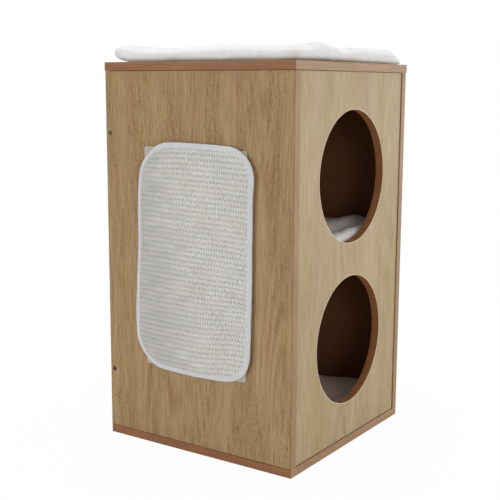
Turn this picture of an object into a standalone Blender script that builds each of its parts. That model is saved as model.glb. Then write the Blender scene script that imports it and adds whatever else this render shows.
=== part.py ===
# Two-storey cat house. Faced boards make the carcass, with a round doorway into
# each storey, a cushion on every level and a scratch pad on the left side.
# Metres, +Z up. The doorways face -Y and the scratch pad faces -X. The origin is
# the middle of the underside.

import math

import bmesh
import bpy
from mathutils import Matrix, Vector

# Carcass, measured outside the boards
BODY_WIDTH = 0.405
BODY_DEPTH = 0.405
CARCASS_HEIGHT = 0.700
TOP_THICKNESS = 0.015
BASE_THICKNESS = 0.015
SIDE_THICKNESS = 0.015
FRONT_THICKNESS = 0.015
BACK_THICKNESS = 0.015
SHELF_THICKNESS = 0.015
TOP_OVERHANG = 0.001
FRONT_SETBACK = 0.002
BACK_SETBACK = 0.0015

# Edge bands on the boards
BAND_THICKNESS = 0.001
BAND_EDGE_RADIUS = 0.0003

# Doorways, clear size inside their bands, and places from the middle of the shelf
DOORWAY_RADIUS = 0.119
UPPER_DOORWAY_RISE = 0.150
LOWER_DOORWAY_DROP = 0.149

# Clearances
SEAT_GAP = 0.0003
FRONT_SIDE_GAP = 0.0008
BORE_OVERRUN = 0.002

# Countersunk screws through a board's face into another board's edge
SCREW_LENGTH = 0.050
SCREW_HEAD_RADIUS = 0.005
SCREW_HEAD_RIM = 0.0008
SCREW_HEAD_HEIGHT = 0.0042
SCREW_SHANK_RADIUS = 0.0035
SCREW_SHANK_LENGTH = 0.012
SCREW_THREAD_RADIUS = 0.0031
SCREW_TIP_LENGTH = 0.004
SCREW_TIP_RADIUS = 0.0012
SCREW_SOCKET_RADIUS = 0.0023
SCREW_SOCKET_DEPTH = 0.0025
SCREW_SINK = 0.0004
BACK_SCREW_INSET = 0.127

# Cam fittings that draw the top onto the sides
CAM_RADIUS = 0.0073
CAM_SETBACK = 0.024
CAM_WALL_BEHIND = 0.0025
CAM_CAVITY_RADIUS = 0.0048
CAM_ENTRY_ANGLE = 110
CAM_CROSS_LENGTH = 0.0060
CAM_CROSS_WIDTH = 0.0011
CAM_CROSS_DEPTH = 0.0015
BOLT_THREAD_RADIUS = 0.0030
BOLT_COLLAR_RADIUS = 0.0037
BOLT_COLLAR_HEIGHT = 0.0015
BOLT_SHANK_RADIUS = 0.0031
BOLT_NECK_RADIUS = 0.0022
BOLT_HEAD_RADIUS = 0.0034
BOLT_HEAD_HALF_HEIGHT = 0.0018
BOLT_CHAMFER = 0.0008
BOLT_WALL_BEHIND = 0.004
FITTING_INSET = 0.070
FITTING_CLEARANCE = 0.0004

# Wooden dowels under the front panel, over it and at the shelf's ends
DOWEL_RADIUS = 0.004
DOWEL_CHAMFER = 0.001
DOWEL_EDGE_DEPTH = 0.020
DOWEL_WALL_BEHIND = 0.005
FRONT_DOWEL_INSET = 0.045

# Cushions
TOP_CUSHION_INSET = 0.0045
TOP_CUSHION_THICKNESS = 0.027
TOP_CUSHION_EDGE_RADIUS = 0.012
ROOM_CUSHION_CLEARANCE = 0.003
ROOM_CUSHION_THICKNESS = 0.042
ROOM_CUSHION_EDGE_RADIUS = 0.016
CUSHION_CORNER_RADIUS = 0.030

# Scratch pad, a little askew on its tabs
PAD_WIDTH = 0.252
PAD_HEIGHT = 0.414
PAD_THICKNESS = 0.0070
PAD_CORNER_RADIUS = 0.060
PAD_RISE = 0.003
PAD_TILT = -1.7
BINDING_THICKNESS = 0.0009
BINDING_LIP = 0.0085
BINDING_EDGE_RADIUS = 0.0024
CORD_PITCH = 0.0090
CORD_HEIGHT = 0.0015
CORD_PROUD = 0.0004
TAB_SIZE = 0.038
TAB_CORNER_RADIUS = 0.003
TAB_THICKNESS = 0.0012
TAB_SIDE_INSET = 0.035
TAB_END_INSET = 0.027

# Fineness of round shapes
SMALL_ROUND = 12
DOORWAY_ROUND = 64
CORNER_STEPS = 6
CUSHION_ROUND = 4
CORD_STEPS = 6
EDGE_STEPS = 3

# Places worked out from the sizes
HALF_WIDTH = BODY_WIDTH / 2
HALF_DEPTH = BODY_DEPTH / 2
INNER_HALF_WIDTH = HALF_WIDTH - SIDE_THICKNESS
TOP_UNDERSIDE = CARCASS_HEIGHT - TOP_THICKNESS
WALL_FOOT = BASE_THICKNESS + SEAT_GAP
WALL_HEAD = TOP_UNDERSIDE - SEAT_GAP
FRONT_FACE = -HALF_DEPTH + FRONT_SETBACK
FRONT_INSIDE = FRONT_FACE + FRONT_THICKNESS
FRONT_MIDDLE = FRONT_FACE + FRONT_THICKNESS / 2
BACK_FACE = HALF_DEPTH - BACK_SETBACK
BACK_INSIDE = BACK_FACE - BACK_THICKNESS
BACK_MIDDLE = BACK_FACE - BACK_THICKNESS / 2
SIDE_MIDDLE = HALF_WIDTH - SIDE_THICKNESS / 2
SHELF_HEIGHT = (BASE_THICKNESS + TOP_UNDERSIDE) / 2
SHELF_TOP = SHELF_HEIGHT + SHELF_THICKNESS / 2
PAD_CENTRE_HEIGHT = CARCASS_HEIGHT / 2 + PAD_RISE
FITTING_PLACE = HALF_DEPTH - FITTING_INSET

UP = Vector((0, 0, 1))
DOWN = Vector((0, 0, -1))
RIGHT = Vector((1, 0, 0))
LEFT = Vector((-1, 0, 0))
BACKWARD = Vector((0, 1, 0))


def clear_scene():
    for old in list(bpy.data.objects):
        bpy.data.objects.remove(old, do_unlink=True)


def new_collection(name):
    made = bpy.data.collections.new(name)
    bpy.context.scene.collection.children.link(made)
    return made


def new_material(name, colour, roughness, metallic=0.0):
    made = bpy.data.materials.new(name)
    made.use_nodes = True
    shader = made.node_tree.nodes["Principled BSDF"]
    shader.inputs["Base Color"].default_value = (*colour, 1.0)
    shader.inputs["Roughness"].default_value = roughness
    shader.inputs["Metallic"].default_value = metallic
    return made


def new_part(name, data, material, matrix=None):
    made = bpy.data.objects.new(name, data)
    made.data.materials.append(material)
    parts.objects.link(made)
    if matrix is not None:
        made.matrix_world = matrix
    return made


def new_cutter(name, data, matrix=None):
    made = bpy.data.objects.new(name, data)
    made.hide_render = True
    made.display_type = "WIRE"
    cutters.objects.link(made)
    if matrix is not None:
        made.matrix_world = matrix
    return made


def facing(place, direction):
    # Local +Z points along the direction
    turn = Vector(direction).to_track_quat("Z", "Y").to_matrix().to_4x4()
    return Matrix.Translation(place) @ turn


def box_mesh(name, size):
    shape = bmesh.new()
    bmesh.ops.create_cube(shape, size=1.0)
    bmesh.ops.scale(shape, vec=size, verts=shape.verts)
    data = bpy.data.meshes.new(name)
    shape.to_mesh(data)
    shape.free()
    return data


def cylinder_mesh(name, radius, depth, segments):
    # From z = 0 up to z = depth
    shape = bmesh.new()
    bmesh.ops.create_cone(shape, cap_ends=True, segments=segments, radius1=radius, radius2=radius,
                          depth=depth, matrix=Matrix.Translation((0, 0, depth / 2)))
    data = bpy.data.meshes.new(name)
    shape.to_mesh(data)
    shape.free()
    return data


def profile_mesh(name, profile, closed=False):
    # An outline of (radius, height) points in the XZ plane, for a Screw modifier
    points = [(radius, 0, height) for radius, height in profile]
    edges = [(i, i + 1) for i in range(len(points) - 1)]
    if closed:
        edges.append((len(points) - 1, 0))
    data = bpy.data.meshes.new(name)
    data.from_pydata(points, edges, [])
    return data


def spin(made, segments):
    turning = made.modifiers.new("turning", "SCREW")
    turning.steps = segments
    turning.render_steps = segments
    turning.use_merge_vertices = True
    turning.merge_threshold = 0.00001
    turning.use_smooth_shade = True


def board(name, low, high, material):
    low = Vector(low)
    high = Vector(high)
    return new_part(name, box_mesh(name, high - low), material, Matrix.Translation((low + high) / 2))


def band(name, low, high):
    made = board(name, low, high, edge_band)
    rounding = made.modifiers.new("rounding", "BEVEL")
    rounding.width = BAND_EDGE_RADIUS
    rounding.segments = 1
    return made


def cut(target, cutter, operation="DIFFERENCE"):
    cutting = target.modifiers.new(cutter.name, "BOOLEAN")
    cutting.object = cutter
    cutting.operation = operation
    cutting.solver = "EXACT"


def bore(name, targets, mouth, direction, radius, depth, segments=SMALL_ROUND):
    # A round hole from its mouth along the direction, opened a little past the mouth
    direction = Vector(direction)
    start = Vector(mouth) - direction * BORE_OVERRUN
    data = cylinder_mesh(name, radius, depth + BORE_OVERRUN, segments)
    cutter = new_cutter(name, data, facing(start, direction))
    for target in targets:
        cut(target, cutter)


def arc(centre_x, centre_y, radius, start, end, steps):
    # Points along an arc, its angles in degrees
    points = []
    for step in range(steps + 1):
        angle = math.radians(start + (end - start) * step / steps)
        points.append((centre_x + radius * math.cos(angle), centre_y + radius * math.sin(angle)))
    return points


def rounded_rectangle(width, height, radius, steps=CORNER_STEPS):
    x = width / 2 - radius
    y = height / 2 - radius
    corners = [(x, y, 0), (-x, y, 90), (-x, -y, 180), (x, -y, 270)]
    outline = []
    for centre_x, centre_y, start in corners:
        outline += arc(centre_x, centre_y, radius, start, start + 90, steps)
    return outline


def flat_curve(name, outline, half_thickness):
    data = bpy.data.curves.new(name, "CURVE")
    data.dimensions = "2D"
    data.fill_mode = "BOTH"
    data.extrude = half_thickness
    spline = data.splines.new("POLY")
    spline.points.add(len(outline) - 1)
    for point, (x, y) in zip(spline.points, outline):
        point.co = (x, y, 0, 1)
    spline.use_cyclic_u = True
    return data


def curve_to_mesh(name, data):
    guide = bpy.data.objects.new(name + "_guide", data)
    bpy.context.scene.collection.objects.link(guide)
    bpy.context.view_layer.update()
    evaluated = guide.evaluated_get(bpy.context.evaluated_depsgraph_get())
    made = bpy.data.meshes.new_from_object(evaluated)
    made.name = name
    shape = bmesh.new()
    shape.from_mesh(made)
    bmesh.ops.remove_doubles(shape, verts=shape.verts, dist=0.00001)
    bmesh.ops.recalc_face_normals(shape, faces=shape.faces)
    shape.to_mesh(made)
    shape.free()
    made.materials.clear()
    bpy.data.objects.remove(guide)
    return made


def plate_mesh(name, outline, thickness):
    # A flat outline in XY, its middle plane at z = 0
    return curve_to_mesh(name, flat_curve(name, outline, thickness / 2))


def make_slab(name, half_width, half_depth, floor, thickness):
    # A level board with a band on each of its four edges
    cover = BAND_THICKNESS + SEAT_GAP
    head = floor + thickness
    core_x = half_width - cover
    core_y = half_depth - cover
    slab = board(name + "_panel", (-core_x, -core_y, floor), (core_x, core_y, head), oak_board)
    inner_y = half_depth - BAND_THICKNESS
    band(name + "_edge_band_front", (-half_width, -half_depth, floor), (half_width, -inner_y, head))
    band(name + "_edge_band_back", (-half_width, inner_y, floor), (half_width, half_depth, head))
    inner_x = half_width - BAND_THICKNESS
    band(name + "_edge_band_left", (-half_width, -core_y, floor), (-inner_x, core_y, head))
    band(name + "_edge_band_right", (inner_x, -core_y, floor), (half_width, core_y, head))
    return slab


def make_side(name, outward):
    # An upright board with a band down its front edge
    inner = outward.x * INNER_HALF_WIDTH
    outer = outward.x * HALF_WIDTH
    low_x = min(inner, outer)
    high_x = max(inner, outer)
    band_back = -HALF_DEPTH + BAND_THICKNESS
    core_front = band_back + SEAT_GAP
    panel = board(name + "_side_panel", (low_x, core_front, WALL_FOOT), (high_x, HALF_DEPTH, WALL_HEAD),
                  oak_board)
    band(name + "_side_edge_band", (low_x, -HALF_DEPTH, WALL_FOOT), (high_x, band_back, WALL_HEAD))
    return panel


def make_front():
    half = INNER_HALF_WIDTH - FRONT_SIDE_GAP
    return board("front_panel", (-half, FRONT_FACE, WALL_FOOT), (half, FRONT_INSIDE, WALL_HEAD), oak_board)


def make_back():
    half = INNER_HALF_WIDTH - SEAT_GAP
    return board("back_panel", (-half, BACK_INSIDE, WALL_FOOT), (half, BACK_FACE, WALL_HEAD), oak_board)


def make_shelf():
    half = INNER_HALF_WIDTH - SEAT_GAP
    front = FRONT_INSIDE + SEAT_GAP
    back = BACK_INSIDE - SEAT_GAP
    return board("middle_shelf", (-half, front, SHELF_HEIGHT - SHELF_THICKNESS / 2), (half, back, SHELF_TOP),
                 oak_board)


def make_doorway(name, height):
    # A round hole through the front panel, lined with a band as deep as the board
    cut_radius = DOORWAY_RADIUS + BAND_THICKNESS + SEAT_GAP
    mouth = (0, FRONT_FACE, height)
    bore(name + "_cut", [front_panel], mouth, BACKWARD, cut_radius, FRONT_THICKNESS + BORE_OVERRUN,
         DOORWAY_ROUND)
    outer = DOORWAY_RADIUS + BAND_THICKNESS
    profile = [(outer, FRONT_THICKNESS), (outer, 0), (DOORWAY_RADIUS, 0), (DOORWAY_RADIUS, FRONT_THICKNESS)]
    data = profile_mesh(name + "_edge_band", profile, closed=True)
    lining = new_part(name + "_edge_band", data, edge_band, facing(mouth, BACKWARD))
    spin(lining, DOORWAY_ROUND)


def screw_profile(clearance, start):
    # Head at z = 0, the point along -Z
    head = SCREW_HEAD_RADIUS + clearance
    shank = SCREW_SHANK_RADIUS + clearance
    thread = SCREW_THREAD_RADIUS + clearance
    end = -SCREW_LENGTH - clearance
    return [
        (0, start),
        (head, start),
        (head, -SCREW_HEAD_RIM - clearance),
        (shank, -SCREW_HEAD_HEIGHT - clearance),
        (shank, -SCREW_SHANK_LENGTH - clearance),
        (thread, -SCREW_SHANK_LENGTH - clearance),
        (thread, end + SCREW_TIP_LENGTH),
        (SCREW_TIP_RADIUS + clearance, end),
        (0, end),
    ]


def make_screw(name, targets, place, outward):
    # Countersunk head just under the face, hexagonal socket in the head
    outward = Vector(outward)
    head = Vector(place) - outward * SCREW_SINK
    matrix = facing(head, outward)
    hole = new_cutter(name + "_bore", profile_mesh(name + "_bore", screw_profile(SEAT_GAP, BORE_OVERRUN)),
                      matrix)
    spin(hole, SMALL_ROUND)
    for target in targets:
        cut(target, hole)
    screw = new_part(name, profile_mesh(name, screw_profile(0, 0)), bronzed_steel, matrix)
    spin(screw, SMALL_ROUND)
    socket_depth = SCREW_SOCKET_DEPTH + BORE_OVERRUN
    socket_start = head + outward * BORE_OVERRUN
    data = cylinder_mesh(name + "_socket", SCREW_SOCKET_RADIUS, socket_depth, 6)
    cut(screw, new_cutter(name + "_socket", data, facing(socket_start, -outward)))


def bolt_profile():
    # Thread upwards from z = 0, shank, neck and head downwards to the cam's axis
    thread_end = TOP_THICKNESS - BOLT_WALL_BEHIND
    neck_start = -(CAM_SETBACK - CAM_RADIUS - 2 * FITTING_CLEARANCE)
    head_top = -(CAM_SETBACK - BOLT_HEAD_HALF_HEIGHT)
    head_end = -(CAM_SETBACK + BOLT_HEAD_HALF_HEIGHT)
    collar_top = -SEAT_GAP
    return [
        (0, thread_end),
        (BOLT_THREAD_RADIUS - BOLT_CHAMFER, thread_end),
        (BOLT_THREAD_RADIUS, thread_end - BOLT_CHAMFER),
        (BOLT_THREAD_RADIUS, collar_top),
        (BOLT_COLLAR_RADIUS, collar_top),
        (BOLT_COLLAR_RADIUS, collar_top - BOLT_COLLAR_HEIGHT),
        (BOLT_SHANK_RADIUS, collar_top - BOLT_COLLAR_HEIGHT),
        (BOLT_SHANK_RADIUS, neck_start),
        (BOLT_NECK_RADIUS, neck_start),
        (BOLT_NECK_RADIUS, head_top),
        (BOLT_HEAD_RADIUS, head_top),
        (BOLT_HEAD_RADIUS, head_end + BOLT_CHAMFER),
        (BOLT_HEAD_RADIUS - BOLT_CHAMFER, head_end),
        (0, head_end),
    ]


def make_cam_bolt(name, side_panel, place):
    # Screwed into the underside of the top, its head held in the cam
    bolt = new_part(name, profile_mesh(name, bolt_profile()), zinc_steel, Matrix.Translation(place))
    spin(bolt, SMALL_ROUND)
    thread_depth = TOP_THICKNESS - BOLT_WALL_BEHIND + SEAT_GAP
    bore(name + "_thread_bore", [top_panel], place, UP, BOLT_THREAD_RADIUS + SEAT_GAP, thread_depth)
    bore(name + "_shank_bore", [side_panel], place, DOWN, BOLT_COLLAR_RADIUS + SEAT_GAP, CAM_SETBACK)


def make_cam_lock(name, side_panel, place, inward):
    # A drum in the side panel's inner face. A slot as wide as the bolt's neck runs
    # round it from the bolt to the entry, which is as wide as the bolt's head.
    inward = Vector(inward)
    depth = SIDE_THICKNESS - CAM_WALL_BEHIND
    bore(name + "_bore", [side_panel], place, -inward, CAM_RADIUS + SEAT_GAP, depth)
    data = cylinder_mesh(name, CAM_RADIUS, depth - 2 * SEAT_GAP, SMALL_ROUND * 2)
    start = Vector(place) - inward * SEAT_GAP
    cam = new_part(name, data, zinc_casting, facing(start, -inward))
    middle = Vector(place) - inward * (SIDE_THICKNESS / 2)
    half_cavity = BOLT_HEAD_RADIUS + FITTING_CLEARANCE
    cavity = cylinder_mesh(name + "_cavity", CAM_CAVITY_RADIUS, 2 * half_cavity, SMALL_ROUND)
    cut(cam, new_cutter(name + "_cavity", cavity, facing(middle - inward * half_cavity, inward)))
    reach = CAM_RADIUS + BORE_OVERRUN
    width = 2 * (BOLT_NECK_RADIUS + FITTING_CLEARANCE)
    slot_angles = range(0, CAM_ENTRY_ANGLE, 30)
    for angle in slot_angles:
        ray = Matrix.Rotation(math.radians(angle), 3, inward) @ UP
        matrix = facing(middle + ray * (reach / 2), ray)
        slot = box_mesh(name + "_slot", (width, width, reach))
        cut(cam, new_cutter(name + "_slot_%d" % angle, slot, matrix))
    ray = Matrix.Rotation(math.radians(CAM_ENTRY_ANGLE), 3, inward) @ UP
    entry = cylinder_mesh(name + "_entry", half_cavity, reach, SMALL_ROUND)
    cut(cam, new_cutter(name + "_entry", entry, facing(middle, ray)))
    for turn in (0, 90):
        cross = box_mesh(name + "_cross", (CAM_CROSS_LENGTH, CAM_CROSS_WIDTH, 2 * CAM_CROSS_DEPTH))
        matrix = facing(start, -inward) @ Matrix.Rotation(math.radians(turn), 4, "Z")
        cut(cam, new_cutter(name + "_cross_%d" % turn, cross, matrix))


def make_dowel(name, face_board, edge_board, place, into_face, face_thickness):
    # Half in a hole in one board's face, half in a hole in the other board's edge
    into_face = Vector(into_face)
    face_depth = face_thickness - DOWEL_WALL_BEHIND
    length = face_depth + DOWEL_EDGE_DEPTH - 2 * SEAT_GAP
    start = Vector(place) - into_face * (DOWEL_EDGE_DEPTH - SEAT_GAP)
    radius = DOWEL_RADIUS
    profile = [
        (0, length),
        (radius - DOWEL_CHAMFER, length),
        (radius, length - DOWEL_CHAMFER),
        (radius, DOWEL_CHAMFER),
        (radius - DOWEL_CHAMFER, 0),
        (0, 0),
    ]
    dowel = new_part(name, profile_mesh(name, profile), beech, facing(start, into_face))
    spin(dowel, SMALL_ROUND)
    bore(name + "_face_bore", [face_board], place, into_face, radius + SEAT_GAP, face_depth)
    bore(name + "_edge_bore", [edge_board], place, -into_face, radius + SEAT_GAP, DOWEL_EDGE_DEPTH)


def make_cushion(name, width, depth, middle, thickness, edge_radius, seat):
    outline = rounded_rectangle(width, depth, CUSHION_CORNER_RADIUS)
    place = Matrix.Translation((0, middle, seat + SEAT_GAP + thickness / 2))
    cushion = new_part(name, plate_mesh(name, outline, thickness), white_plush, place)
    rounding = cushion.modifiers.new("rounding", "BEVEL")
    rounding.width = edge_radius
    rounding.segments = CUSHION_ROUND
    rounding.limit_method = "ANGLE"
    rounding.angle_limit = math.radians(40)


def binding_profile():
    # A tape folded round the pad's edge and open towards the pad's middle. Each point
    # is its inset from the pad's outline and its height above the pad's back.
    radius = BINDING_EDGE_RADIUS
    fold = BINDING_THICKNESS
    front = PAD_THICKNESS
    back_edge = arc(radius, radius, radius, 270, 180, EDGE_STEPS)
    front_edge = arc(radius, front - radius, radius, 180, 90, EDGE_STEPS)
    front_lip = [(BINDING_LIP, front), (BINDING_LIP, front - fold), (fold, front - fold)]
    back_lip = [(fold, fold), (BINDING_LIP, fold), (BINDING_LIP, 0)]
    return back_edge + front_edge + front_lip + back_lip


def make_binding(pad):
    # The folded tape, swept round the pad's outline
    name = "scratch_pad_binding"
    outline = rounded_rectangle(PAD_WIDTH, PAD_HEIGHT, PAD_CORNER_RADIUS)
    section = [(-inset, height) for inset, height in binding_profile()]
    profile = bpy.data.objects.new("tape_profile", flat_curve("tape_profile", section, 0))
    bpy.context.scene.collection.objects.link(profile)
    path = flat_curve(name, outline, 0)
    path.dimensions = "3D"
    path.twist_mode = "Z_UP"
    path.fill_mode = "FULL"
    path.bevel_mode = "OBJECT"
    path.bevel_object = profile
    data = curve_to_mesh(name, path)
    bpy.data.objects.remove(profile)
    hang(new_part(name, data, binding_tape), pad, 0)


def make_backing(pad):
    # A sheet on the pad's back, inside the tape and level with it
    inset = BINDING_LIP + SEAT_GAP
    outline = rounded_rectangle(PAD_WIDTH - 2 * inset, PAD_HEIGHT - 2 * inset, PAD_CORNER_RADIUS - inset)
    data = plate_mesh("scratch_pad_backing", outline, BINDING_THICKNESS)
    hang(new_part("scratch_pad_backing", data, backing_felt), pad, BINDING_THICKNESS / 2)


def cord_outline(length, floor, crest):
    # The mat cut down its length: a flat floor and one wave for each cord
    count = int(length / CORD_PITCH)
    pitch = length / count
    outline = []
    for step in range(count * CORD_STEPS + 1):
        wave = (1 - math.cos(2 * math.pi * step / CORD_STEPS)) / 2
        outline.append((step * pitch / CORD_STEPS - length / 2, crest - CORD_HEIGHT * (1 - wave)))
    return outline + [(length / 2, floor), (-length / 2, floor)]


def make_mat(pad):
    # A woven sheet under the tape's lips, its cords standing up between them
    inset = BINDING_THICKNESS + SEAT_GAP
    floor = BINDING_THICKNESS + SEAT_GAP
    sheet_head = PAD_THICKNESS - inset
    crest = PAD_THICKNESS + CORD_PROUD
    sheet = plate_mesh("sheet", rounded_rectangle(PAD_WIDTH - 2 * inset, PAD_HEIGHT - 2 * inset,
                                                  PAD_CORNER_RADIUS - inset), sheet_head - floor)
    edge = BINDING_LIP + SEAT_GAP
    width = PAD_WIDTH - 2 * edge
    height = PAD_HEIGHT - 2 * edge
    window = plate_mesh("window", rounded_rectangle(width, height, PAD_CORNER_RADIUS - edge), PAD_THICKNESS)
    middle = (floor + sheet_head) / 2
    outline = cord_outline(height + CORD_PITCH, middle, crest)
    cords = curve_to_mesh("scratch_mat", flat_curve("cords", outline, width))
    # The outline's X runs up the pad, and its Y out of the pad
    cords.transform(Matrix(((0, 0, 1), (1, 0, 0), (0, 1, 0))).to_4x4())
    mat = hang(new_part("scratch_mat", cords, woven_sisal), pad, 0)
    window_cutter = hang(new_cutter("mat_window", window), pad, PAD_THICKNESS)
    sheet_cutter = hang(new_cutter("mat_sheet", sheet), pad, middle)
    cut(mat, window_cutter, "INTERSECT")
    cut(mat, sheet_cutter, "UNION")


def hang(made, pad, height):
    # Placed in the pad's own axes, this far out from the pad's back
    made.parent = pad
    made.matrix_basis = Matrix.Translation((0, 0, height))
    return made


def make_pad():
    # The pad's own axes: X towards the front, Y up, Z out of the left side panel
    axes = Matrix(((0, 0, -1), (-1, 0, 0), (0, 1, 0))).to_4x4()
    back = 2 * TAB_THICKNESS + 3 * SEAT_GAP
    pad = bpy.data.objects.new("scratch_pad", None)
    parts.objects.link(pad)
    place = Matrix.Translation((-HALF_WIDTH - back, 0, PAD_CENTRE_HEIGHT))
    pad.matrix_world = place @ axes @ Matrix.Rotation(math.radians(PAD_TILT), 4, "Z")
    make_backing(pad)
    make_mat(pad)
    make_binding(pad)


def make_tab(name, place, material):
    outline = rounded_rectangle(TAB_SIZE, TAB_SIZE, TAB_CORNER_RADIUS, 2)
    new_part(name, plate_mesh(name, outline, TAB_THICKNESS), material, facing(place, LEFT))


def make_tab_pairs():
    # Hook tabs on the side panel, loop tabs over them on the pad's back
    y = PAD_WIDTH / 2 - TAB_SIDE_INSET
    z = PAD_HEIGHT / 2 - TAB_END_INSET
    hook_x = -HALF_WIDTH - SEAT_GAP - TAB_THICKNESS / 2
    loop_x = hook_x - TAB_THICKNESS - SEAT_GAP
    for end, rise in (("upper", z), ("lower", -z)):
        for side, shift in (("front", -y), ("back", y)):
            height = PAD_CENTRE_HEIGHT + rise
            make_tab("hook_tab_%s_%s" % (end, side), (hook_x, shift, height), hook_tape)
            make_tab("loop_tab_%s_%s" % (end, side), (loop_x, shift, height), loop_tape)


def make_side_fittings(name, panel, outward):
    # Everything that joins one side panel to the boards round it
    inward = -outward
    edge_x = outward.x * SIDE_MIDDLE
    face_x = outward.x * HALF_WIDTH
    inner_x = outward.x * INNER_HALF_WIDTH
    for end, height in (("upper", CARCASS_HEIGHT - BACK_SCREW_INSET), ("lower", BACK_SCREW_INSET)):
        place = (face_x, BACK_MIDDLE, height)
        make_screw("back_screw_%s_%s" % (name, end), [panel, back_panel], place, outward)
    for row, y in (("front", -FITTING_PLACE), ("back", FITTING_PLACE)):
        end = "%s_%s" % (name, row)
        make_screw("base_screw_" + end, [base_panel, panel], (edge_x, y, 0), DOWN)
        make_cam_bolt("cam_bolt_" + end, panel, (edge_x, y, TOP_UNDERSIDE))
        make_cam_lock("cam_lock_" + end, panel, (inner_x, y, TOP_UNDERSIDE - CAM_SETBACK), inward)
        make_dowel("shelf_dowel_" + end, panel, middle_shelf, (inner_x, y, SHELF_HEIGHT), outward,
                   SIDE_THICKNESS)


def make_front_dowels():
    x = INNER_HALF_WIDTH - FRONT_DOWEL_INSET
    for side, shift in (("left", -x), ("right", x)):
        make_dowel("front_dowel_lower_" + side, base_panel, front_panel, (shift, FRONT_MIDDLE, BASE_THICKNESS),
                   DOWN, BASE_THICKNESS)
        make_dowel("front_dowel_upper_" + side, top_panel, front_panel, (shift, FRONT_MIDDLE, TOP_UNDERSIDE),
                   UP, TOP_THICKNESS)


def make_cushions():
    top_width = BODY_WIDTH - 2 * TOP_CUSHION_INSET
    top_depth = BODY_DEPTH - 2 * TOP_CUSHION_INSET
    make_cushion("top_cushion", top_width, top_depth, 0, TOP_CUSHION_THICKNESS, TOP_CUSHION_EDGE_RADIUS,
                 CARCASS_HEIGHT)
    room_width = 2 * (INNER_HALF_WIDTH - ROOM_CUSHION_CLEARANCE)
    room_depth = BACK_INSIDE - FRONT_INSIDE - 2 * ROOM_CUSHION_CLEARANCE
    room_middle = (BACK_INSIDE + FRONT_INSIDE) / 2
    for name, seat in (("upper_cushion", SHELF_TOP), ("lower_cushion", BASE_THICKNESS)):
        make_cushion(name, room_width, room_depth, room_middle, ROOM_CUSHION_THICKNESS,
                     ROOM_CUSHION_EDGE_RADIUS, seat)


clear_scene()
parts = new_collection("cat_house")
cutters = new_collection("cutters")

oak_board = new_material("oak_board", (0.40, 0.29, 0.17), 0.45)
edge_band = new_material("edge_band", (0.35, 0.17, 0.09), 0.5)
white_plush = new_material("white_plush", (0.82, 0.82, 0.82), 0.95)
woven_sisal = new_material("woven_sisal", (0.58, 0.56, 0.50), 0.9)
binding_tape = new_material("binding_tape", (0.68, 0.68, 0.68), 0.85)
backing_felt = new_material("backing_felt", (0.50, 0.49, 0.46), 0.95)
hook_tape = new_material("hook_tape", (0.60, 0.59, 0.56), 0.6)
loop_tape = new_material("loop_tape", (0.68, 0.67, 0.65), 0.9)
bronzed_steel = new_material("bronzed_steel", (0.10, 0.075, 0.045), 0.4, 1.0)
zinc_steel = new_material("zinc_steel", (0.55, 0.55, 0.56), 0.35, 1.0)
zinc_casting = new_material("zinc_casting", (0.42, 0.42, 0.43), 0.45, 1.0)
beech = new_material("beech", (0.55, 0.36, 0.20), 0.6)

top_panel = make_slab("top", HALF_WIDTH + TOP_OVERHANG, HALF_DEPTH + TOP_OVERHANG, TOP_UNDERSIDE, TOP_THICKNESS)
base_panel = make_slab("base", HALF_WIDTH, HALF_DEPTH, 0, BASE_THICKNESS)
left_side_panel = make_side("left", LEFT)
right_side_panel = make_side("right", RIGHT)
front_panel = make_front()
back_panel = make_back()
middle_shelf = make_shelf()
make_doorway("upper_doorway", SHELF_HEIGHT + UPPER_DOORWAY_RISE)
make_doorway("lower_doorway", SHELF_HEIGHT - LOWER_DOORWAY_DROP)
make_side_fittings("left", left_side_panel, LEFT)
make_side_fittings("right", right_side_panel, RIGHT)
make_front_dowels()
make_cushions()
make_tab_pairs()
make_pad()
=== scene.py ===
import math

import bmesh
import bpy
from mathutils import Matrix, Vector, noise


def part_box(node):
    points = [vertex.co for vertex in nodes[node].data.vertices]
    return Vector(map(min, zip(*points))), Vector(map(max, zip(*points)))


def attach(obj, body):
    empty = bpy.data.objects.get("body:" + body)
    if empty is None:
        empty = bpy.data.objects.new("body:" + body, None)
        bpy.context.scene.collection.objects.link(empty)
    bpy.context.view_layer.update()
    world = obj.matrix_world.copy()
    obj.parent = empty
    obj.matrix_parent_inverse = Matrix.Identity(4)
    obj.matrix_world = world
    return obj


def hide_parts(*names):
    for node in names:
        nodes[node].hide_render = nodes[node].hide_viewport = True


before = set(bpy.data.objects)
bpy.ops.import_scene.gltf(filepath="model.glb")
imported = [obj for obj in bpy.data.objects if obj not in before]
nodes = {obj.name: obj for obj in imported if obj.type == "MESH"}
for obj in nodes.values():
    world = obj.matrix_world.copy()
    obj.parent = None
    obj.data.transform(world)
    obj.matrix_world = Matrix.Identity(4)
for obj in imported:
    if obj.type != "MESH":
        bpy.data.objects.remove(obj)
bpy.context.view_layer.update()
scene = bpy.context.scene
print("cat house: frame loaded,", len(nodes), "solids")


def enterMode(mode):
    bpy.ops.object.mode_set(mode=mode)


def deselectAll():
    if bpy.context.object and bpy.context.object.mode != "OBJECT":
        enterMode("OBJECT")
    bpy.ops.object.select_all(action="DESELECT")


def makeActive(piece):
    deselectAll()
    piece.select_set(True)
    bpy.context.view_layer.objects.active = piece


def nameNew(name):
    # the primitive just added, with its place and size put into its mesh
    piece = bpy.context.object
    piece.name = name
    piece.data.name = name
    bpy.ops.object.transform_apply(location=True, rotation=True, scale=True)
    return piece


def pick(piece, kind, test):
    # in edit mode: kind is "verts", "edges" or "faces"
    mode = {"verts": "VERT", "edges": "EDGE", "faces": "FACE"}[kind]
    bpy.ops.mesh.select_mode(type=mode)
    bpy.ops.mesh.select_all(action="DESELECT")
    form = bmesh.from_edit_mesh(piece.data)
    for item in getattr(form, kind):
        if test(item):
            item.select_set(True)
    bmesh.update_edit_mesh(piece.data)


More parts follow.
